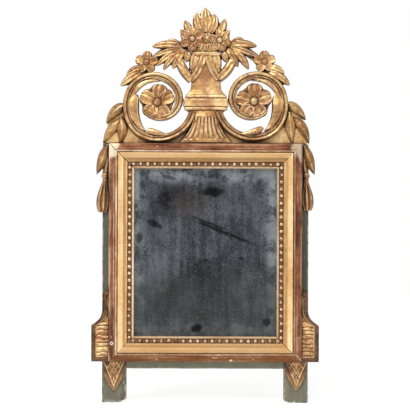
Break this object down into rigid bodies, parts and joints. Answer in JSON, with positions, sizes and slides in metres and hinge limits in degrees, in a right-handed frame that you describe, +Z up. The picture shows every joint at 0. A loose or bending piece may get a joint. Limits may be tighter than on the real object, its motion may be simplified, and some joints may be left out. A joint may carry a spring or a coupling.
{
  "type": "pediment mirror",
  "caption": "Carved gilt wood wall mirror with an openwork pediment of vase, scrolls, flowers and leaves, side brackets, painted feet and a hinged hanging ring.",
  "frame": {"origin": "on the wall plane, at the back face of the bottom rail, level with the moulding's lower edge, in the middle", "axes": "+X to the viewer's right seen from the front, +Y into the wall, +Z up; the glass looks along -Y"},
  "size_m": [0.4014, 0.046, 0.7004],
  "materials": {
    "gilding": "worn leaf gilding over red ground",
    "ground_board": "worn gilding in front, bare wood behind",
    "green_paint": "old grey-green paint",
    "old_wood": "bare aged wood",
    "iron": "dark forged iron",
    "old_mirror": "dark foxed silvering"
  },
  "bodies": {
    "mirror": {"backboard_lower": "old_wood", "backboard_nails": "iron", "backboard_upper": "old_wood", "batten_screws": "iron", "bottom_rail": "green_paint", "bouquet_bud": "gilding", "bouquet_flower_left": "gilding", "bouquet_flower_right": "gilding", "bracket_left": "gilding", "bracket_nails": "iron", "bracket_right": "gilding", "crest_leaf": "gilding", "drop_left": "gilding", "drop_right": "gilding", "foot_leaf_left": "gilding", "foot_leaf_right": "gilding", "frame_pegs": "old_wood", "garland_flower_left": "gilding", "garland_flower_right": "gilding", "garland_leaf_left": "gilding", "garland_leaf_right": "gilding", "glazing_blocks": "old_wood", "hanger_plate": "iron", "hanger_screws": "iron", "laurel_left": "gilding", "laurel_right": "gilding", "mirror_plate": "old_mirror", "moulding_bottom": "gilding", "moulding_left": "gilding", "moulding_nails": "iron", "moulding_right": "gilding", "moulding_top": "gilding", "pediment_batten": "old_wood", "pediment_board": "ground_board", "pediment_dowels": "old_wood", "rosette_left": "gilding", "rosette_right": "gilding", "scroll_left": "gilding", "scroll_right": "gilding", "spray_left": "gilding", "spray_right": "gilding", "stile_left": "green_paint", "stile_right": "green_paint", "swag_left": "gilding", "swag_right": "gilding", "top_rail": "green_paint", "urn_body": "gilding", "urn_collar": "gilding", "urn_foot": "gilding"},
    "ring": {"hanger_ring": "iron"}
  },
  "joints": [
    {"name": "ring_hinge", "type": "hinge", "parent": "mirror", "child": "ring", "pos_m": [0, -0.003, 0.4547], "axis": [1, 0, 0], "range_deg": [0, 170]}
  ]
}
